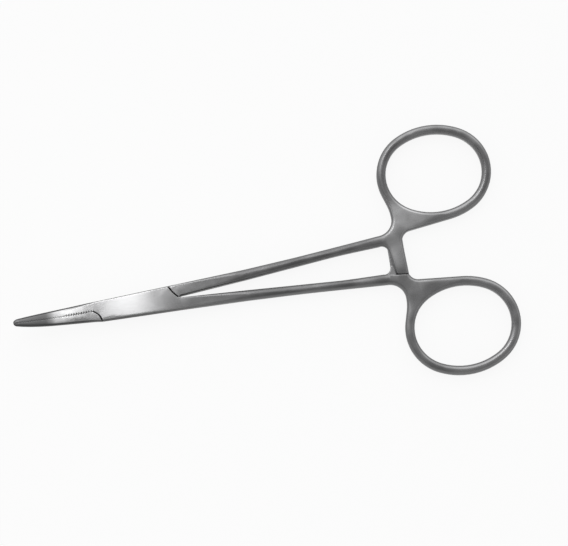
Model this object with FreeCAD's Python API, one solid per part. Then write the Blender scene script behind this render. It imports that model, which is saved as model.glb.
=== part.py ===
import FreeCAD, Part
import math
import os

# Curved mosquito forceps with a box lock, closed and latched.
# The origin is on the pin axis at the back face of the box lock, +X runs to the finger rings,
# +Y to the ring of the tongue half and +Z out of the front face. Millimetres and degrees.

# Box lock, whose straight edges open out from the jaws to the shanks
BOX_DISTAL_X = -9.0
BOX_PROXIMAL_X = 11.5
BOX_DISTAL_HALF_WIDTH = 2.47
BOX_PROXIMAL_HALF_WIDTH = 3.15
BOX_THICKNESS = 3.4
BOX_EDGE_RADIUS = 0.3
CHEEK_THICKNESS = 1.05
SHOULDER_GAP = 0.10
SHOULDER_EASE = 0.14
GROOVE_OVERRUN = 1.2
MEETING_Y = 0.1
CROTCH_HALF_GAP = 0.06
CROTCH_RADIUS = 0.30
DISTAL_SHOULDER = ((-10.6, MEETING_Y), (-9.25, -1.0), (-8.6, -2.8))
PROXIMAL_SHOULDER = ((10.9, -CROTCH_HALF_GAP), (9.72, 1.3), (8.7, 3.2))

# Tongue, which passes through the box and stops against its webs
TONGUE_CLEARANCE = 0.06
TONGUE_INSET = 0.04
TONGUE_OVERLAP = 0.4
TONGUE_ROOT_HALF_WIDTH = 2.0
STOP_ANGLE = 53.0

# Way through the box, as far as it reaches past the shoulders and the webs, and its outside corner
SLOT_OVERLAP = 0.6
SLOT_REACH = 3.0
SLOT_CORNER = (12.0, 6.0)

# Pin, with flared ends riveted flush into the cheeks
PIN_DIAMETER = 2.2
PIN_FLARE_DIAMETER = 2.7
PIN_FLARE_DEPTH = 0.3
PIN_RUNNING_CLEARANCE = 0.03

# Jaws, bent up about an axis along Y: X, low and high Y, thickness and edge radius of each section
JAW_BEND_RADIUS = 44.0
JAW_STATIONS = (
    (-11.0, -2.22, 2.46, 3.28, 0.50),
    (-14.0, -2.04, 2.36, 3.08, 0.80),
    (-18.0, -1.79, 2.14, 2.80, 0.90),
    (-22.0, -1.55, 1.87, 2.55, 0.88),
    (-25.0, -1.28, 1.61, 2.32, 0.83),
    (-27.5, -0.95, 1.33, 2.12, 0.74),
    (-29.0, -0.66, 1.12, 1.95, 0.66),
)

# Blunt nose beyond the last section, in flats at these angles round a quarter of an oval
NOSE_LENGTH = 1.05
NOSE_ANGLES = (25.0, 48.0, 68.0)

# Sector across the jaws, as half its depth and the angle of its far end
SECTOR_HALF_DEPTH = 3.0
SECTOR_END_ANGLE = 40.0

# Cross serrations of the grip faces
TOOTH_PITCH = 0.62
TOOTH_HALF_WIDTH = 0.25
TOOTH_DEPTH = 0.26
TOOTH_MESH = 0.14
FIRST_TOOTH_X = -12.9
LAST_TOOTH_X = -32.4

# Handles: outline of the upper one, the lower one is its mirror image
HANDLE_START_X = 28.0
HANDLE_THICKNESS = 2.75
HANDLE_EDGE_RADIUS = 1.0
SHANK_OUTER = ((28.0, 3.89, 0), (42.0, 4.66, 400.0), (66.75, 6.52, 4.0), (66.7, 12.0, 10.0))
RING_TO_ARM = (68.35, 5.98, 2.5)
SHANK_INNER = ((64.25, 3.62, 1.8), (52.5, 3.23, 150.0), (28.0, 1.30, 0))

# Finger ring, an oval of four arcs whose long axis toes in towards the middle
RING_CENTRE = (79.3, 19.55)
RING_TOE = -1.5
HOLE_HALF_LENGTH = 12.1
HOLE_HALF_WIDTH = 9.95
HOLE_END_RADIUS = 9.25
RING_BAND = 2.3

# Ratchet arms, one in front of the other, with saw teeth on the faces that pass
ARM_END_Y = -8.0
ARM_RIGHT_END_X = 68.55
FRONT_ARM_LEFT_END_X = 66.05
REAR_ARM_LEFT_END_X = 64.5
RATCHET_PLANE_Z = 1.38
RATCHET_HALF_GAP = 0.025
RATCHET_PITCH = 1.9
RATCHET_LAND = 0.15
RATCHET_DEPTH = 0.45
RATCHET_TEETH = 3
FIRST_GULLET_Y = -3.95
GULLET_OVERSHOOT = 0.2

# Lines across the arms where they end and where they step down to half thickness
ARM_TIP = ((62.0, -3.64), (75.0, -5.20))
ARM_STEP = ((62.0, 3.50), (65.0, 4.25), (75.0, 5.45))
TRIM_END_Y = -9.0

BOX_SLOPE = (BOX_PROXIMAL_HALF_WIDTH - BOX_DISTAL_HALF_WIDTH) / (BOX_PROXIMAL_X - BOX_DISTAL_X)
MIDDLE_Z = BOX_THICKNESS / 2
BEND_CENTRE = FreeCAD.Vector(BOX_DISTAL_X, 0, MIDDLE_Z + JAW_BEND_RADIUS)
SIDE = FreeCAD.Vector(0, 1, 0)
FAR = 60.0
NEAR = 0.01
FLATS = 3
HALF_FLAT = math.pi / 4 / (FLATS + 1)


def box_half_width(x):
    """Half the width of the box lock at x."""
    return BOX_DISTAL_HALF_WIDTH + BOX_SLOPE * (x - BOX_DISTAL_X)


def at(x, y, z=0.0):
    return FreeCAD.Vector(x, y, z)


def line(start, end):
    return Part.LineSegment(start, end).toShape()


def arc(start, middle, end):
    return Part.Arc(start, middle, end).toShape()


def prism(points, height_vector):
    """Solid of a straight-sided outline swept along a vector."""
    face = Part.Face(Part.makePolygon(list(points) + [points[0]]))
    return face.extrude(height_vector)


def prism_of_edges(edges, low, high):
    """Solid of a plan outline given as edges, from height low to height high."""
    wire = Part.Wire(Part.__sortEdges__(edges))
    face = Part.Face(wire)
    face.translate(at(0, 0, low))
    return face.extrude(at(0, 0, high - low))


def rounded_path(corners):
    """Edges of an open path in plan whose corners (x, y, radius) are rounded by tangent arcs."""
    edges = []
    last = at(*corners[0][:2])
    for i in range(1, len(corners) - 1):
        corner = at(*corners[i][:2])
        to_last = (at(*corners[i - 1][:2]) - corner).normalize()
        to_next = (at(*corners[i + 1][:2]) - corner).normalize()
        radius = corners[i][2]
        half_angle = to_last.getAngle(to_next) / 2
        reach = radius / math.tan(half_angle)
        start = corner + to_last * reach
        end = corner + to_next * reach
        inwards = (to_last + to_next).normalize()
        middle = corner + inwards * (radius / math.sin(half_angle) - radius)
        edges += [line(last, start), arc(start, middle, end)]
        last = end
    edges.append(line(last, at(*corners[-1][:2])))
    return edges


def rounded_section(x, y_low, y_high, z_low, z_high, radius_low, radius_high):
    """Closed section at x, with one edge radius on its low side in y and one on its high side.

    Each corner is rounded by three flats that touch the circle of its radius."""
    points = []
    for side_y, side_z, quarter in ((-1, -1, 2), (1, -1, 3), (1, 1, 0), (-1, 1, 1)):
        radius = radius_high if side_y > 0 else radius_low
        centre_y = y_high - radius if side_y > 0 else y_low + radius
        centre_z = z_high - radius if side_z > 0 else z_low + radius
        reach = radius / math.cos(HALF_FLAT)
        for step in range(FLATS + 1):
            turn = quarter * math.pi / 2 + HALF_FLAT * (1 + 2 * step)
            points.append(at(x, centre_y + reach * math.cos(turn), centre_z + reach * math.sin(turn)))
    return Part.makePolygon(points + [points[0]])


def ease_edges(solid, radius, choose_edges):
    """Round the chosen edges of a solid by three flats that touch a round of this radius."""
    for leg in (math.tan(math.pi / 4) - math.tan(math.pi / 8), math.tan(math.pi / 8) - math.tan(HALF_FLAT)):
        solid = solid.makeChamfer(radius * leg, choose_edges(solid))
    return solid


def bend_angle(x):
    """Angle about the bend axis of the point of the jaws' middle line at x."""
    return math.degrees(math.asin((BOX_DISTAL_X - x) / JAW_BEND_RADIUS))


def onto_bend(shape, angle):
    """Turn a shape that stands at the start of the bend to its place along the jaws."""
    shape.rotate(BEND_CENTRE, SIDE, angle)
    return shape


def jaw_section(x, y_low, y_high, thickness, radius):
    """Section of the parted jaws, standing square to their curve."""
    section = rounded_section(BOX_DISTAL_X, y_low, y_high, MIDDLE_Z - thickness / 2,
                              MIDDLE_Z + thickness / 2, radius, radius)
    return onto_bend(section, bend_angle(x))


def jaw_nose():
    """Blunt rounded end of the jaws."""
    x, y_low, y_high, thickness, radius = JAW_STATIONS[-1]
    middle = (y_low + y_high) / 2
    half_width = (y_high - y_low) / 2
    sections = [jaw_section(*JAW_STATIONS[-1])]
    for degrees in NOSE_ANGLES:
        size = math.cos(math.radians(degrees))
        along = x - NOSE_LENGTH * math.sin(math.radians(degrees))
        sections.append(jaw_section(along, middle - size * half_width, middle + size * half_width,
                                    size * thickness, size * radius))
    return Part.makeLoft(sections, True, True)


def jaw_blank():
    """Both jaws as one tapering bar, bent up towards the front, before they are parted."""
    sections = [rounded_section(BOX_DISTAL_X, -BOX_DISTAL_HALF_WIDTH, BOX_DISTAL_HALF_WIDTH, 0,
                                BOX_THICKNESS, BOX_EDGE_RADIUS, BOX_EDGE_RADIUS)]
    sections += [jaw_section(*station) for station in JAW_STATIONS]
    return Part.makeLoft(sections, True, False).fuse(jaw_nose())


def box_blank():
    """The box lock as one block, before it is parted and slotted."""
    sections = []
    for x in (BOX_DISTAL_X, BOX_PROXIMAL_X):
        half_width = box_half_width(x)
        sections.append(rounded_section(x, -half_width, half_width, 0, BOX_THICKNESS,
                                        BOX_EDGE_RADIUS, BOX_EDGE_RADIUS))
    return Part.makeLoft(sections, True, True)


def lower_jaw_region(shift, meeting_y):
    """Plan region of the lower jaw, up to the arc of its shoulder."""
    start, middle, end = [at(x + shift, y) for x, y in DISTAL_SHOULDER]
    start.y = meeting_y
    edges = [
        arc(start, middle, end),
        line(end, at(end.x, -FAR)),
        line(at(end.x, -FAR), at(-FAR, -FAR)),
        line(at(-FAR, -FAR), at(-FAR, meeting_y)),
        line(at(-FAR, meeting_y), start),
    ]
    return prism_of_edges(edges, -1, FAR)


def upper_shank_region(shift, meeting_y):
    """Plan region of the upper shank, from the arc of its shoulder to the end of the box."""
    start, middle, end = [at(x + shift, y) for x, y in PROXIMAL_SHOULDER]
    start.y = meeting_y
    edges = [
        arc(start, middle, end),
        line(end, at(end.x, FAR)),
        line(at(end.x, FAR), at(FAR, FAR)),
        line(at(FAR, FAR), at(FAR, meeting_y)),
        line(at(FAR, meeting_y), start),
    ]
    return prism_of_edges(edges, -1, FAR)


def shoulder_grooves(shoulder, shift):
    """V grooves in the back and front faces that ease the edges on both sides of a shoulder."""
    start, middle, end = [at(x + shift, y) for x, y in shoulder]
    centre = Part.Circle(start, middle, end).Center
    first, last = [math.degrees(math.atan2(p.y - centre.y, p.x - centre.x)) for p in (start, end)]
    sweep = ((last - first + 180) % 360 - 180) * GROOVE_OVERRUN
    depth = SHOULDER_EASE + SHOULDER_GAP / 2
    overshoot = 0.1
    across = (start - centre).normalize() * (depth + overshoot)
    grooves = []
    for face_z, into in ((0, 1), (BOX_THICKNESS, -1)):
        mouth = start + at(0, 0, face_z - into * overshoot)
        root = start + at(0, 0, face_z + into * depth)
        section = Part.Face(Part.makePolygon([mouth - across, mouth + across, root, mouth - across]))
        grooves.append(section.revolve(centre, at(0, 0, 1), sweep))
    return grooves


def bend_sector(first_angle, y_low, y_high):
    """Slab across the jaws from first_angle along the bend to beyond the tips."""
    inner = JAW_BEND_RADIUS - SECTOR_HALF_DEPTH
    outer = JAW_BEND_RADIUS + SECTOR_HALF_DEPTH
    corners = []
    for radius, angle in ((inner, first_angle), (outer, first_angle),
                          (outer, SECTOR_END_ANGLE), (inner, SECTOR_END_ANGLE)):
        turn = math.radians(angle)
        corners.append(BEND_CENTRE + at(-radius * math.sin(turn), 0, -radius * math.cos(turn)))
    slab = prism(corners, at(0, y_high - y_low, 0))
    slab.translate(at(0, y_low, 0))
    return slab


def serrations(crest_y, into, first_step):
    """V grooves across a grip face, cut from its crest plane in the direction of into."""
    pitch_angle = math.degrees(TOOTH_PITCH / JAW_BEND_RADIUS)
    first = bend_angle(FIRST_TOOTH_X)
    count = int((bend_angle(LAST_TOOTH_X) - first) / pitch_angle)
    overshoot = 0.1
    half_width = TOOTH_HALF_WIDTH * (1 + overshoot / TOOTH_DEPTH)
    grooves = []
    for i in range(count):
        mouth_y = crest_y - into * overshoot
        root_y = crest_y + into * TOOTH_DEPTH
        corners = [
            at(BOX_DISTAL_X - half_width, mouth_y, MIDDLE_Z - SECTOR_HALF_DEPTH),
            at(BOX_DISTAL_X + half_width, mouth_y, MIDDLE_Z - SECTOR_HALF_DEPTH),
            at(BOX_DISTAL_X, root_y, MIDDLE_Z - SECTOR_HALF_DEPTH),
        ]
        groove = prism(corners, at(0, 0, 2 * SECTOR_HALF_DEPTH))
        grooves.append(onto_bend(groove, first + (i + first_step) * pitch_angle))
    return grooves


def tooth_start(steps):
    """Angle where the toothed part of a grip face starts, in pitches from the first tooth."""
    return bend_angle(FIRST_TOOTH_X) + steps * math.degrees(TOOTH_PITCH / JAW_BEND_RADIUS)


def web_corner(side):
    """Corner of a web on the box edge, which the tongue meets at the stop angle.

    side is 1 for the upper edge of the box and -1 for the lower edge."""
    slope = math.atan(BOX_SLOPE)
    to_edge = box_half_width(0) * math.cos(slope)
    to_tongue = to_edge - TONGUE_INSET
    stop = math.radians(STOP_ANGLE)
    along = (to_tongue - to_edge * math.cos(stop)) / math.sin(stop)
    out = at(-math.sin(slope), side * math.cos(slope))
    return out * to_edge + at(-side * out.y, side * out.x) * along * side


def slot_outline(clearance):
    """Plan corners of the way through the box, narrowed by a clearance at both webs."""
    upper_web = web_corner(1)
    lower_web = web_corner(-1)
    distal = at(DISTAL_SHOULDER[0][0], MEETING_Y)
    proximal = at(PROXIMAL_SHOULDER[0][0], -CROTCH_HALF_GAP)
    upper_way = (upper_web - distal).normalize()
    lower_way = (lower_web - proximal).normalize()
    upper_in = at(upper_way.y, -upper_way.x) * clearance
    lower_in = at(lower_way.y, -lower_way.x) * clearance
    return [
        distal - upper_way * SLOT_OVERLAP + upper_in,
        upper_web + upper_way * SLOT_REACH + upper_in,
        at(*SLOT_CORNER),
        proximal - lower_way * SLOT_OVERLAP + lower_in,
        lower_web + lower_way * SLOT_REACH + lower_in,
        at(-SLOT_CORNER[0], -SLOT_CORNER[1]),
    ]


def slot():
    """The space between the cheeks, open at its ends and along two sides."""
    low = CHEEK_THICKNESS
    outline = [p + at(0, 0, low) for p in slot_outline(0)]
    return prism(outline, at(0, 0, BOX_THICKNESS - 2 * low))


def tongue():
    """Thin waist of the tongue half, between its jaw and its shank."""
    low = CHEEK_THICKNESS + TONGUE_CLEARANCE
    height = BOX_THICKNESS - 2 * low
    way = [p + at(0, 0, low) for p in slot_outline(TONGUE_CLEARANCE)]
    left = DISTAL_SHOULDER[0][0] - TONGUE_OVERLAP
    right = PROXIMAL_SHOULDER[0][0] + TONGUE_OVERLAP
    left_width = box_half_width(left) - TONGUE_INSET
    right_width = box_half_width(right) - TONGUE_INSET
    jaw_width = box_half_width(BOX_DISTAL_X) - TONGUE_INSET
    band = [at(left, -TONGUE_ROOT_HALF_WIDTH, low), at(BOX_DISTAL_X, -jaw_width, low),
            at(right, -right_width, low), at(right, right_width, low), at(left, left_width, low)]
    return prism(way, at(0, 0, height)).common(prism(band, at(0, 0, height)))


def pin_body(clearance):
    """The pin's straight barrel and its two flared ends."""
    radius = PIN_DIAMETER / 2 + clearance
    flare = PIN_FLARE_DIAMETER / 2
    barrel = Part.makeCylinder(radius, BOX_THICKNESS)
    back = Part.makeCone(flare, radius, PIN_FLARE_DEPTH)
    front = Part.makeCone(radius, flare, PIN_FLARE_DEPTH, at(0, 0, BOX_THICKNESS - PIN_FLARE_DEPTH))
    return barrel.fuse([back, front]).removeSplitter()


def ring_arcs(band):
    """Centres, radii and joints of the oval's four arcs, with a band added to the hole's radii.

    The arcs run anticlockwise from the outer end; each joint is the end of its arc."""
    flank_radius = ((HOLE_HALF_LENGTH**2 + HOLE_HALF_WIDTH**2 - 2 * HOLE_HALF_LENGTH * HOLE_END_RADIUS)
                    / (2 * (HOLE_HALF_WIDTH - HOLE_END_RADIUS)))
    end_offset = HOLE_HALF_LENGTH - HOLE_END_RADIUS
    flank_offset = flank_radius - HOLE_HALF_WIDTH
    half_angle = math.atan2(flank_offset, end_offset)
    arcs = []
    for centre, radius, turn in (
        ((end_offset, 0), HOLE_END_RADIUS, half_angle),
        ((0, -flank_offset), flank_radius, math.pi - half_angle),
        ((-end_offset, 0), HOLE_END_RADIUS, math.pi + half_angle),
        ((0, flank_offset), flank_radius, 2 * math.pi - half_angle),
    ):
        arcs.append((on_ring(*centre), radius + band, turn + math.radians(RING_TOE)))
    return arcs


def on_ring(along, across):
    """Point in plan at a place given along and across the ring's long axis."""
    toe = math.radians(RING_TOE)
    return at(RING_CENTRE[0] + along * math.cos(toe) - across * math.sin(toe),
              RING_CENTRE[1] + along * math.sin(toe) + across * math.cos(toe))


def round_point(centre, radius, angle):
    return centre + at(math.cos(angle), math.sin(angle)) * radius


def plan_arc(centre, radius, first, last):
    """Arc in plan from angle first, anticlockwise, to angle last."""
    return arc(round_point(centre, radius, first), round_point(centre, radius, (first + last) / 2),
               round_point(centre, radius, last))


def tangent_angle(centre, radius, corner, side):
    """Angle on a circle where a line from a corner outside it touches it."""
    away = corner - centre
    return math.atan2(away.y, away.x) + side * math.acos(radius / away.Length)


def hole_edges():
    """The four arcs of the finger hole."""
    arcs = ring_arcs(0)
    edges = []
    first = arcs[-1][2] - 2 * math.pi
    for centre, radius, last in arcs:
        edges.append(plan_arc(centre, radius, first, last))
        first = last
    return edges


def handle_plan(arm_left_end_x):
    """Edges of the outline of the shank, junction, ring and arm of the upper handle."""
    (end, end_radius, end_last), (top, top_radius, top_last), inner, bottom = ring_arcs(RING_BAND)
    bottom_last = bottom[2] - 2 * math.pi
    from_arm = tangent_angle(bottom[0], bottom[1], at(*RING_TO_ARM[:2]), 1)
    from_shank = tangent_angle(inner[0], inner[1], at(*SHANK_OUTER[-1][:2]), -1) + 2 * math.pi
    touch_shank = round_point(inner[0], inner[1], from_shank)
    touch_arm = round_point(bottom[0], bottom[1], from_arm)
    arm_right = (ARM_RIGHT_END_X, ARM_END_Y, 0)
    arm_left = (arm_left_end_x, ARM_END_Y, 0)
    edges = rounded_path(list(SHANK_OUTER) + [(touch_shank.x, touch_shank.y, 0)])
    edges.append(plan_arc(inner[0], inner[1], top_last, from_shank))
    edges.append(plan_arc(top, top_radius, end_last, top_last))
    edges.append(plan_arc(end, end_radius, bottom_last, end_last))
    edges.append(plan_arc(bottom[0], bottom[1], from_arm, bottom_last))
    edges += rounded_path([(touch_arm.x, touch_arm.y, 0), RING_TO_ARM, arm_right])
    edges.append(line(at(*arm_right[:2]), at(*arm_left[:2])))
    edges += rounded_path([arm_left] + list(SHANK_INNER))
    edges.append(line(at(*SHANK_INNER[-1][:2]), at(*SHANK_OUTER[0][:2])))
    return edges


def rim_edges(solid):
    """Edges that run round the front and back of a handle, leaving out its two open ends."""
    chosen = []
    for edge in solid.Edges:
        box = edge.BoundBox
        upright = box.ZLength > HANDLE_EDGE_RADIUS / 4
        at_start = box.XMax < HANDLE_START_X + NEAR
        at_arm_end = box.YMax < ARM_END_Y + NEAR
        if not (upright or at_start or at_arm_end):
            chosen.append(edge)
    return chosen


def handle_blank(arm_left_end_x):
    """Upper shank, junction, ring and a full-thickness arm, with eased edges."""
    solid = prism_of_edges(handle_plan(arm_left_end_x), 0, HANDLE_THICKNESS)
    solid = solid.cut(prism_of_edges(hole_edges(), -1, HANDLE_THICKNESS + 1))
    return ease_edges(solid, HANDLE_EDGE_RADIUS, rim_edges)


def shank_root(handle):
    """Taper from the box, with sharp edges, to the rounded start of the handle."""
    start = [f for f in handle.Faces if f.BoundBox.XMax < HANDLE_START_X + NEAR][0]
    edge_x = BOX_PROXIMAL_X
    first = rounded_section(edge_x, CROTCH_RADIUS, box_half_width(edge_x), 0, BOX_THICKNESS,
                            BOX_EDGE_RADIUS / 2, BOX_EDGE_RADIUS)
    return Part.makeLoft([first, start.OuterWire], True, True)


def saw_teeth(facing):
    """Grooves between the ratchet teeth of the front arm; facing is -1 for its back face.

    The steep side of each tooth faces the arm's own root, so closing rides over it."""
    plane = RATCHET_PLANE_Z - facing * RATCHET_HALF_GAP
    root = plane - facing * RATCHET_DEPTH
    over = plane + facing * GULLET_OVERSHOOT
    left, right = ARM_STEP[0][0], ARM_STEP[-1][0]
    grooves = []
    for i in range(RATCHET_TEETH):
        low = FIRST_GULLET_Y + i * RATCHET_PITCH
        high = low + RATCHET_PITCH - RATCHET_LAND
        slope_over = low - GULLET_OVERSHOOT * (high - low) / RATCHET_DEPTH
        corners = [at(left, low, plane), at(left, high, root), at(left, high, over),
                   at(left, slope_over, over)]
        grooves.append(prism(corners, at(right - left, 0, 0)))
    return grooves


def trim_block(edge, low, high):
    """Block over the arms beyond a line across them, from height low to height high."""
    corners = [at(x, y, low) for x, y in edge]
    corners += [at(edge[-1][0], TRIM_END_Y, low), at(edge[0][0], TRIM_END_Y, low)]
    return prism(corners, at(0, 0, high - low))


def upper_handle():
    """Handle of the tongue half, whose ratchet arm is its front half."""
    handle = handle_blank(FRONT_ARM_LEFT_END_X)
    solid = handle.fuse(shank_root(handle))
    behind = trim_block(ARM_STEP, -1, RATCHET_PLANE_Z + RATCHET_HALF_GAP)
    beyond = trim_block(ARM_TIP, -1, HANDLE_THICKNESS + 1)
    return solid.cut([behind, beyond] + saw_teeth(-1))


def lower_handle():
    """Handle of the box half, whose ratchet arm is its back half."""
    handle = handle_blank(REAR_ARM_LEFT_END_X)
    solid = handle.fuse(shank_root(handle))
    before = trim_block(ARM_STEP, RATCHET_PLANE_Z - RATCHET_HALF_GAP, HANDLE_THICKNESS + 1)
    beyond = trim_block(ARM_TIP, -1, HANDLE_THICKNESS + 1)
    return solid.cut([before, beyond] + saw_teeth(1)).mirror(at(0, 0), SIDE)


def easing_cuts():
    """Grooves that ease both shoulders, and the round end of the gap between the shanks."""
    half_gap = SHOULDER_GAP / 2
    crotch = Part.makeCylinder(CROTCH_RADIUS, BOX_THICKNESS, at(BOX_PROXIMAL_X, 0))
    return (shoulder_grooves(DISTAL_SHOULDER, -half_gap) + shoulder_grooves(PROXIMAL_SHOULDER, half_gap)
            + [crotch])


def box_half():
    """Upper jaw, box and lower handle."""
    jaws = jaw_blank().fuse(box_blank())
    crest_y = MEETING_Y - TOOTH_MESH / 2
    away = lower_jaw_region(0, MEETING_Y)
    away = away.cut(bend_sector(tooth_start(-1), crest_y, MEETING_Y + 1))
    jaws = jaws.cut([away, upper_shank_region(0, -CROTCH_HALF_GAP), slot()])
    jaws = jaws.cut(serrations(crest_y, 1, -1) + easing_cuts())
    solid = jaws.fuse(lower_handle()).removeSplitter()
    return solid.cut(pin_body(0))


def tongue_half():
    """Lower jaw, tongue and upper handle."""
    jaws = jaw_blank().fuse(box_blank())
    crest_y = MEETING_Y + TOOTH_MESH / 2
    jaw_part = lower_jaw_region(-SHOULDER_GAP, MEETING_Y - TONGUE_CLEARANCE / 2)
    jaw_part = jaw_part.fuse(bend_sector(tooth_start(-0.5), -1, crest_y))
    lower_jaw = jaws.common(jaw_part).cut(serrations(crest_y, -1, -0.5) + easing_cuts())
    shank_start = jaws.common(upper_shank_region(SHOULDER_GAP, CROTCH_HALF_GAP)).cut(easing_cuts())
    solid = lower_jaw.fuse([tongue(), shank_start, upper_handle()]).removeSplitter()
    bore = Part.makeCylinder(PIN_DIAMETER / 2 + PIN_RUNNING_CLEARANCE, BOX_THICKNESS)
    return solid.cut(bore)


def save(shape, name):
    solids = shape.Solids
    print(name, len(solids), "solid(s), valid", shape.isValid(), "volume", round(shape.Volume, 2),
          "faces", len(shape.Faces))
    solids[0].exportStep("parts/" + name + ".step")


os.makedirs("parts", exist_ok=True)
save(box_half(), "box_half")
save(tongue_half(), "tongue_half")
save(pin_body(0), "box_lock_pin")
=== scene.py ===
import math

import bmesh
import bpy
from mathutils import Matrix, Vector

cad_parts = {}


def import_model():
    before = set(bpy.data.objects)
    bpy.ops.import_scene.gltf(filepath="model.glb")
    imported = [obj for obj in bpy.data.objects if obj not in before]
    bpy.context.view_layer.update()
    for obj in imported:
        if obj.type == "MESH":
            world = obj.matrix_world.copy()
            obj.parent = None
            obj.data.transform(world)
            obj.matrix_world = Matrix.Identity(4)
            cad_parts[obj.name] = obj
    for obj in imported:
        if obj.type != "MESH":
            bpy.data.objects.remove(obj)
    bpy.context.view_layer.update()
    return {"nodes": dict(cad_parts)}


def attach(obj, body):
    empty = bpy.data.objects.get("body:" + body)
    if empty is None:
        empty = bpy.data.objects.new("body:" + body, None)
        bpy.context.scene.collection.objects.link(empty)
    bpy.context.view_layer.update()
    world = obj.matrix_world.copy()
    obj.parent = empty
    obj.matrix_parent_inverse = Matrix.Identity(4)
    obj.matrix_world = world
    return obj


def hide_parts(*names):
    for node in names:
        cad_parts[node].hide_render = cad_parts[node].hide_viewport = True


# Looks of a pair of curved mosquito forceps in satin stainless steel.
# Everything is in metres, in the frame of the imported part: the instrument lies closed on the floor
# at z = 0, its pin at the origin and its finger rings towards +X.

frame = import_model()

MM = 0.001

# Camera
CAMERA_TARGET = Vector((37.86, 1.29, 2.0)) * MM
CAMERA_AZIMUTH = math.radians(0.14)
CAMERA_ELEVATION = math.radians(82)
CAMERA_ROLL = math.radians(-10.37)
CAMERA_DISTANCE = 467 * MM
CAMERA_LENS = 118.6
CAMERA_SENSOR = 36
CAMERA_CLIP = (0.01, 50)

# Smoothing of the faceted surfaces
WELD = 0.001 * MM
SHARP_ANGLE = math.radians(34)
NORMAL_WEIGHT = 80

# Brightness and roughness of the steel along X, as pairs of a distance in mm and a number. The
# jaws and box are polished, the handles are satin, and the one turns into the other over SATIN_X.
# The brightness is partly the steel's own and partly painted reflection: its light and dark bands
# along the jaws and box stand for the room mirrored in them.
FINISH_AND_REFLECTION_COLOUR = ((-27, 0.24), (-24, 0.19), (-22.2, 0.19), (-21, 0.38), (-20, 0.68), (-18, 0.78),
                 (-16.8, 0.62), (-15, 0.42), (-12.5, 0.42), (-9, 0.55), (-5, 0.45), (0, 0.44),
                 (12, 0.34), (24, 0.24), (36, 0.20), (62, 0.205), (70, 0.28))
FINISH_ROUGHNESS = ((-4, 0.20), (8, 0.22), (30, 0.33), (62, 0.34), (70, 0.25))
SATIN_X = (-4 * MM, 36 * MM)
BLUE_CAST = 1.01

# Side faces, painted dark as a stand-in for the shade they mirror: the span of a normal's
# uprightness over which they give way to the front and back, their painted dark brightness where
# polished and where satin, and how much rougher they are
FACING_UP = (0.7, 0.95)
PAINTED_SIDE_SHADE = (0.08, 0.17)
SIDE_ROUGHENING = 0.1

# Rounded edges: their radius where polished and where satin, the span of the rounded normal's
# uprightness over which they give way to flat faces, and how much rougher they are where polished.
# Near the pin there are none, so that its flush rim doesn't show.
EDGE_ROUNDING = (0.25 * MM, 0.5 * MM)
BEVEL_SAMPLES = 6
EDGE_TILT = (0.97, 0.999)
EDGE_ROUGHENING = 0.3
PIN_ZONE = (1.8 * MM, 2.2 * MM)

# Webs between shanks and rings, painted lighter as a stand-in for the light they catch: where they
# start and end, and how much lighter they are on the lower ring's side and, above WEB_RISE_Y, on the
# upper ring's
WEB_START_X = (60 * MM, 66 * MM)
WEB_END_X = (71 * MM, 78 * MM)
WEB_END_Y = (11 * MM, 16 * MM)
WEB_RISE_Y = (-4.5 * MM, 0.5 * MM)
WEB_GAIN = (0.22, 0.56)

# Rear ratchet arm, painted lighter as a stand-in for the light its face catches: the space that
# holds it, and how much lighter it is
REAR_ARM_START_X = 62.5 * MM
REAR_ARM_REACH_Y = 4 * MM
REAR_ARM_TOP_Z = 1.45 * MM
REAR_ARM_GAIN = 0.6

# Soft patches of painted light and shade on the ratchet and webs, standing for reflections in their
# curved faces: X, Y and radius in mm, and gain
PAINTED_LIGHT_AND_SHADE_PATCHES = ((65.7, 1.2, 4.2, 0.8), (66.6, -3.5, 1.8, -0.3), (64.6, -4.6, 1.8, 0.5),
                  (68.4, -10.5, 3.0, -0.4), (68.0, 8.5, 3.0, 0.35))

# Unevenness: the scale of each noise, the span of it that is used, and what it does to the
# brightness and roughness
NOISE_SPAN = (0.3, 0.7)
SOFT_DETAIL = 1.0
BLOTCH_SCALE = 260
BLOTCH_DETAIL = 3.0
BLOTCH_TONE = (0.95, 1.04)
BLOTCH_ROUGHNESS = (-0.02, 0.02)
CLOUD_SCALE = 150
CLOUD_SPAN = (0.35, 0.65)
CLOUD_TONE = (-0.2, 0.2)
GRAIN_STRETCH = (500, 5200, 5200)
GRAIN_DETAIL = 2.0
GRAIN_TONE = (0.96, 1.03)
GRAIN_BUMP = {"Strength": 0.05, "Distance": 0.01 * MM}
WAVE_SCALE = 130
WAVE_BUMP = {"Strength": 0.2, "Distance": 0.1 * MM}

# Painted shadow lines along the steps where the box meets the other half: each has three points and
# the two ends of its span in Y, in mm
JOINT_SHADOW_LINES = (
    (((10.9, -0.06), (9.72, 1.3), (8.7, 3.2)), (-0.1, 3.4)),
    (((-8.6, -2.8), (-9.25, -1.0), (-10.6, 0.1)), (-3.0, 0.15)),
)
LINE_HALF_WIDTH = (0.08 * MM, 0.30 * MM)
LINE_SHADE = 0.25

# Painted shade at the tooth roots along the line where the jaws meet
TOOTH_PITCH = 0.62 * MM
TOOTH_WAVE = (-0.4, 0.6)
TEETH_Y = 0.3 * MM
TEETH_HALF_WIDTH = (0.14 * MM, 0.36 * MM)
TEETH_FADE_X = (-18.5 * MM, -16.5 * MM)
TEETH_END_X = -10.4 * MM
TOOTH_SHADE = 0.75

# Painted shade in crevices, from ambient occlusion
CREVICE_REACH = 0.5 * MM
CREVICE_SAMPLES = 8
CREVICE_OPEN = (0.15, 0.8)
CREVICE_SHADE = 0.12

# Stage
FLOOR_SIZE = 6.0
FLOOR_DROP = 0.02 * MM
FLOOR_COLOUR = 0.9
FLOOR_WHITE_SHARE = 0.9

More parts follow.
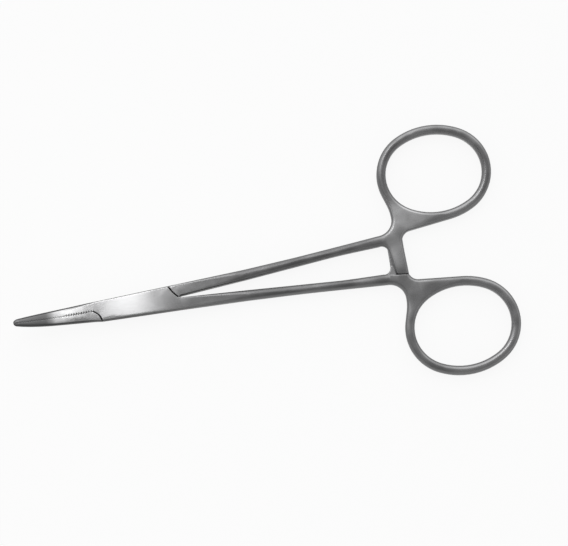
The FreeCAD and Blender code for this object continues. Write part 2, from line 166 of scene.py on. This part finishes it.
# Studio: brightness of the room overhead, beyond the upper ring, and of the walls low down, and
# the directions where each takes over
ROOM = 0.38
BEYOND = 1.45
BEYOND_Y = (0.14, 0.62)
LOW_WALLS = 0.9
LOW_WALLS_Z = (0.3, 0.8)

# Lamps: name, place, the point that it is aimed at, size and radiance. The small panel is what
# the polished box mirrors.
LAMPS = (
    ("key", (-0.053, 0.288, 0.66), (0.04, 0, 0), (0.12, 0.12), 6.5),
    ("box panel", (-0.0065, 0.014, 0.063), (-0.0065, 0.014, 0), (0.013, 0.020), 2.25),
)

# Sockets of the Mix node: both values and the result
MIX_SOCKETS = {"FLOAT": (2, 3, 0), "VECTOR": (4, 5, 1)}


def camera():
    """Camera above the instrument, rolled so that the rings rise to the right."""
    back = Vector((math.sin(CAMERA_AZIMUTH) * math.cos(CAMERA_ELEVATION),
                   -math.cos(CAMERA_AZIMUTH) * math.cos(CAMERA_ELEVATION),
                   math.sin(CAMERA_ELEVATION)))
    right = Vector((math.cos(CAMERA_AZIMUTH), math.sin(CAMERA_AZIMUTH), 0))
    up = back.cross(right)
    rolled_right = right * math.cos(CAMERA_ROLL) + up * math.sin(CAMERA_ROLL)
    rolled_up = up * math.cos(CAMERA_ROLL) - right * math.sin(CAMERA_ROLL)
    data = bpy.data.cameras.new("camera")
    data.lens = CAMERA_LENS
    data.sensor_width = CAMERA_SENSOR
    data.clip_start, data.clip_end = CAMERA_CLIP
    made = bpy.data.objects.new("camera", data)
    turn = Matrix((rolled_right, rolled_up, back)).transposed().to_4x4()
    made.matrix_world = Matrix.Translation(CAMERA_TARGET + back * CAMERA_DISTANCE) @ turn
    bpy.context.scene.collection.objects.link(made)
    bpy.context.scene.camera = made


class Graph:
    """Short way to write a material's nodes."""

    def __init__(self, tree):
        self.tree = tree
        tree.nodes.clear()

    def node(self, kind, inputs=None, **settings):
        made = self.tree.nodes.new(kind)
        for name, value in settings.items():
            setattr(made, name, value)
        for name, value in (inputs or {}).items():
            socket = made.inputs[name]
            if isinstance(value, bpy.types.NodeSocket):
                self.tree.links.new(value, socket)
            else:
                socket.default_value = value
        return made

    def math(self, operation, first, second=0.0):
        made = self.node("ShaderNodeMath", {0: first, 1: second}, operation=operation)
        return made.outputs[0]

    def product(self, first, *others):
        for other in others:
            first = self.math("MULTIPLY", first, other)
        return first

    def vector(self, operation, first, second=(0, 0, 0)):
        """Result of a vector operation: a vector for MULTIPLY, and a number for the others."""
        made = self.node("ShaderNodeVectorMath", {0: first, 1: second}, operation=operation)
        return made.outputs["Vector" if operation == "MULTIPLY" else "Value"]

    def uprightness(self, normal):
        """How nearly a normal points along Z, up or down: 1 where it does."""
        return self.math("ABSOLUTE", self.node("ShaderNodeSeparateXYZ", {0: normal}).outputs["Z"])

    def ramp(self, value, low, high, to_low, to_high, smooth=True):
        """The value mapped from low..high onto to_low..to_high, and held beyond them."""
        made = self.node("ShaderNodeMapRange",
                         {"Value": value, "From Min": low, "From Max": high,
                          "To Min": to_low, "To Max": to_high},
                         interpolation_type="SMOOTHSTEP" if smooth else "LINEAR")
        return made.outputs[0]

    def profile(self, value, points):
        """Number that follows straight lines between points, each a distance in mm and a number."""
        first, last = points[0][0], points[-1][0]
        share = self.ramp(value, first * MM, last * MM, 0.0, 1.0, smooth=False)
        made = self.node("ShaderNodeValToRGB", {0: share})
        stops = made.color_ramp.elements
        while len(stops) < len(points):
            stops.new(0.5)
        for stop, (distance, _) in zip(stops, points):
            stop.position = (distance - first) / (last - first)
        for stop, (_, number) in zip(stops, points):
            stop.color = (number, number, number, 1)
        return made.outputs["Color"]

    def mixed(self, share, first, second, kind="FLOAT"):
        """Blend of two values or vectors."""
        first_socket, second_socket, result = MIX_SOCKETS[kind]
        made = self.node("ShaderNodeMix",
                         {0: share, first_socket: first, second_socket: second}, data_type=kind)
        return made.outputs[result]

    def noise(self, vector, scale, detail):
        made = self.node("ShaderNodeTexNoise",
                         {"Vector": vector, "Scale": scale, "Detail": detail})
        return made.outputs["Fac"]

    def stretched(self, vector, stretch):
        return self.node("ShaderNodeMapping", {"Vector": vector, "Scale": stretch}).outputs[0]

    def bump(self, height, normal, amount):
        made = self.node("ShaderNodeBump", {**amount, "Height": height, "Normal": normal})
        return made.outputs[0]


def joint_shadow_line(g, where, points, ends):
    """Painted shadow along a joint line through three points, over its span in Y."""
    (x0, y0), (x1, y1), (x2, y2) = [(x * MM, y * MM) for x, y in points]
    line = g.math("ADD", g.ramp(where["Y"], y0, y1, x0, x1, smooth=False),
                  g.ramp(where["Y"], y1, y2, 0.0, x2 - x1, smooth=False))
    away = g.math("ABSOLUTE", g.math("SUBTRACT", where["X"], line))
    dark = g.ramp(away, *LINE_HALF_WIDTH, 1.0 - LINE_SHADE, 0.0)
    inside = g.math("MULTIPLY", g.math("GREATER_THAN", where["Y"], ends[0] * MM),
                    g.math("LESS_THAN", where["Y"], ends[1] * MM))
    return g.math("SUBTRACT", 1.0, g.math("MULTIPLY", dark, inside))


def tooth_root_shade(g, where):
    """Painted shade at the roots of the jaw teeth, seen along the line where the jaws meet."""
    turns = g.math("MULTIPLY", where["X"], 2 * math.pi / TOOTH_PITCH)
    away = g.math("ABSOLUTE", g.math("SUBTRACT", where["Y"], TEETH_Y))
    roots = g.product(g.ramp(g.math("SINE", turns), *TOOTH_WAVE, 0.0, 1.0),
                      g.ramp(away, *TEETH_HALF_WIDTH, TOOTH_SHADE, 0.0),
                      g.ramp(where["X"], *TEETH_FADE_X, 0.0, 1.0),
                      g.math("LESS_THAN", where["X"], TEETH_END_X))
    return g.math("SUBTRACT", 1.0, roots)


def painted_light_zones(g, where, flat):
    """Painted light: how much lighter the webs, the rear ratchet arm and the patches of painted
    light and shade are.
    """
    across = g.math("ABSOLUTE", where["Y"])
    web = g.product(g.ramp(where["X"], *WEB_START_X, 0.0, 1.0),
                    g.ramp(where["X"], *WEB_END_X, 1.0, 0.0),
                    g.ramp(across, *WEB_END_Y, 1.0, 0.0),
                    g.ramp(where["Y"], *WEB_RISE_Y, *WEB_GAIN))
    arm = g.product(g.math("LESS_THAN", where["Z"], REAR_ARM_TOP_Z),
                    g.math("LESS_THAN", across, REAR_ARM_REACH_Y),
                    g.math("GREATER_THAN", where["X"], REAR_ARM_START_X))
    lighter = g.math("ADD", web, g.math("MULTIPLY", arm, REAR_ARM_GAIN))
    # Patches of painted light and shade
    for x, y, radius, gain in PAINTED_LIGHT_AND_SHADE_PATCHES:
        away = g.vector("DISTANCE", flat, (x * MM, y * MM, 0))
        lighter = g.math("ADD", lighter, g.ramp(away, 0.0, radius * MM, gain, 0.0))
    return lighter


def steel(name):
    """Satin steel: polished box and jaws, duller handles, with painted reflections along the jaws
    and box, painted light on webs and ratchet, and painted shade on side faces, joint lines, tooth
    roots and crevices.
    """
    material = bpy.data.materials.new(name)
    material.use_nodes = True
    g = Graph(material.node_tree)
    place = g.node("ShaderNodeTexCoord").outputs["Object"]
    where = g.node("ShaderNodeSeparateXYZ", {0: place}).outputs
    flat = g.vector("MULTIPLY", place, (1, 1, 0))
    satin = g.ramp(where["X"], *SATIN_X, 0.0, 1.0)
    blotches = g.noise(place, BLOTCH_SCALE, BLOTCH_DETAIL)
    clouds = g.noise(place, CLOUD_SCALE, SOFT_DETAIL)
    waves = g.noise(place, WAVE_SCALE, SOFT_DETAIL)
    grain = g.noise(g.stretched(place, GRAIN_STRETCH), 1.0, GRAIN_DETAIL)

    normal = g.node("ShaderNodeNewGeometry").outputs["Normal"]
    rounding = g.ramp(satin, 0.0, 1.0, *EDGE_ROUNDING)
    rounded = g.node("ShaderNodeBevel", {"Radius": rounding}, samples=BEVEL_SAMPLES).outputs[0]
    off_pin = g.ramp(g.vector("LENGTH", flat), *PIN_ZONE, 0.0, 1.0)
    rounded = g.mixed(off_pin, normal, rounded, "VECTOR")
    upward = g.ramp(g.uprightness(normal), *FACING_UP, 0.0, 1.0)

    cloud_tone = g.math("MULTIPLY", g.ramp(clouds, *CLOUD_SPAN, *CLOUD_TONE), satin)
    # Colour along X, with the reflections of the jaws and box painted into it
    level = g.product(g.profile(where["X"], FINISH_AND_REFLECTION_COLOUR),
                      g.math("ADD", painted_light_zones(g, where, flat), 1.0),
                      g.ramp(blotches, *NOISE_SPAN, *BLOTCH_TONE),
                      g.math("ADD", cloud_tone, 1.0),
                      g.ramp(grain, *NOISE_SPAN, *GRAIN_TONE))
    # Side faces take painted shade, darker than the front and back
    level = g.mixed(upward, g.ramp(satin, 0.0, 1.0, *PAINTED_SIDE_SHADE), level)
    # Painted shade in crevices comes from this ambient occlusion
    occlusion = g.node("ShaderNodeAmbientOcclusion", {"Distance": CREVICE_REACH},
                       samples=CREVICE_SAMPLES)
    # Painted shadow along the joint lines, painted shade at the tooth roots and in crevices
    level = g.product(level,
                      *[joint_shadow_line(g, where, *line) for line in JOINT_SHADOW_LINES],
                      tooth_root_shade(g, where),
                      g.ramp(occlusion.outputs["AO"], *CREVICE_OPEN, CREVICE_SHADE, 1.0,
                             smooth=False))
    blue = g.math("MULTIPLY", level, BLUE_CAST)
    colour = g.node("ShaderNodeCombineColor", {"Red": level, "Green": level, "Blue": blue})

    edge = g.math("MULTIPLY", g.ramp(g.uprightness(rounded), *EDGE_TILT, EDGE_ROUGHENING, 0.0),
                  g.math("SUBTRACT", 1.0, satin))
    rough = g.profile(where["X"], FINISH_ROUGHNESS)
    for change in (g.ramp(blotches, *NOISE_SPAN, *BLOTCH_ROUGHNESS),
                   g.ramp(upward, 0.0, 1.0, SIDE_ROUGHENING, 0.0, smooth=False),
                   edge):
        rough = g.math("ADD", rough, change)

    bumped = g.bump(grain, g.bump(waves, rounded, WAVE_BUMP), GRAIN_BUMP)
    shader = g.node("ShaderNodeBsdfPrincipled", {"Base Color": colour.outputs[0], "Metallic": 1.0,
                                                 "Roughness": rough, "Normal": bumped})
    g.node("ShaderNodeOutputMaterial", {"Surface": shader.outputs[0]})
    return material


def smooth_copy(node, material):
    """Copy of a CAD node with its facets joined and shaded as smooth surfaces."""
    source = frame["nodes"][node]
    mesh = source.data.copy()
    mesh.name = node + "_finished"
    work = bmesh.new()
    work.from_mesh(mesh)
    bmesh.ops.remove_doubles(work, verts=work.verts, dist=WELD)
    bmesh.ops.recalc_face_normals(work, faces=work.faces)
    for face in work.faces:
        face.smooth = True
    for edge in work.edges:
        edge.smooth = edge.is_manifold and edge.calc_face_angle() < SHARP_ANGLE
    work.to_mesh(mesh)
    work.free()
    mesh.materials.clear()
    mesh.materials.append(material)
    piece = bpy.data.objects.new(node + "_finished", mesh)
    bpy.context.scene.collection.objects.link(piece)
    weights = piece.modifiers.new("weighted normals", "WEIGHTED_NORMAL")
    weights.keep_sharp = True
    weights.weight = NORMAL_WEIGHT
    return piece


def finish_node(node, body, material):
    """Finished copy that stands for a CAD node."""
    piece = smooth_copy(node, material)
    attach(piece, body)
    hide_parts(node)


def floor():
    """Plain pale floor just under the instrument, nearly white to the camera and in reflections."""
    bpy.ops.mesh.primitive_plane_add(size=FLOOR_SIZE, location=(0, 0, -FLOOR_DROP))
    made = bpy.context.object
    made.name = "floor"
    material = bpy.data.materials.new("pale floor")
    material.use_nodes = True
    g = Graph(material.node_tree)
    path = g.node("ShaderNodeLightPath")
    seen = g.math("MAXIMUM", path.outputs["Is Camera Ray"], path.outputs["Is Glossy Ray"])
    seen = g.math("MAXIMUM", seen, path.outputs["Is Transmission Ray"])
    share = g.math("MULTIPLY", seen, FLOOR_WHITE_SHARE)
    lit = g.node("ShaderNodeBsdfDiffuse", {"Color": (FLOOR_COLOUR, FLOOR_COLOUR, FLOOR_COLOUR, 1)})
    white = g.node("ShaderNodeEmission", {"Color": (1, 1, 1, 1), "Strength": 1.0})
    mixed = g.node("ShaderNodeMixShader", {0: share, 1: lit.outputs[0], 2: white.outputs[0]})
    g.node("ShaderNodeOutputMaterial", {"Surface": mixed.outputs[0]})
    made.data.materials.append(material)


def world():
    """Studio room: dim overhead, and bright low down and beyond the upper ring."""
    made = bpy.data.worlds.new("studio")
    made.use_nodes = True
    bpy.context.scene.world = made
    g = Graph(made.node_tree)
    way = g.node("ShaderNodeSeparateXYZ", {0: g.node("ShaderNodeTexCoord").outputs["Generated"]})
    level = g.math("MAXIMUM", g.ramp(way.outputs["Y"], *BEYOND_Y, ROOM, BEYOND),
                   g.ramp(way.outputs["Z"], *LOW_WALLS_Z, LOW_WALLS, 0.0))
    shade = g.node("ShaderNodeBackground", {"Color": (1, 1, 1, 1), "Strength": level})
    g.node("ShaderNodeOutputWorld", {"Surface": shade.outputs[0]})


def softbox(name, place, aim, size, radiance):
    """Rectangular lamp that gives this radiance, unseen by the camera itself."""
    data = bpy.data.lights.new(name, "AREA")
    data.shape = "RECTANGLE"
    data.size, data.size_y = size
    data.energy = radiance * math.pi * size[0] * size[1]
    made = bpy.data.objects.new(name, data)
    made.location = place
    made.rotation_euler = (Vector(aim) - Vector(place)).to_track_quat("-Z", "Y").to_euler()
    made.visible_camera = False
    bpy.context.scene.collection.objects.link(made)


bpy.context.scene.view_settings.view_transform = "Standard"
camera()
satin_steel = steel("satin steel")
finish_node("box_half", "box_half", satin_steel)
finish_node("tongue_half", "tongue_half", satin_steel)
finish_node("box_lock_pin", "box_half", satin_steel)
floor()
world()
for lamp in LAMPS:
    softbox(*lamp)
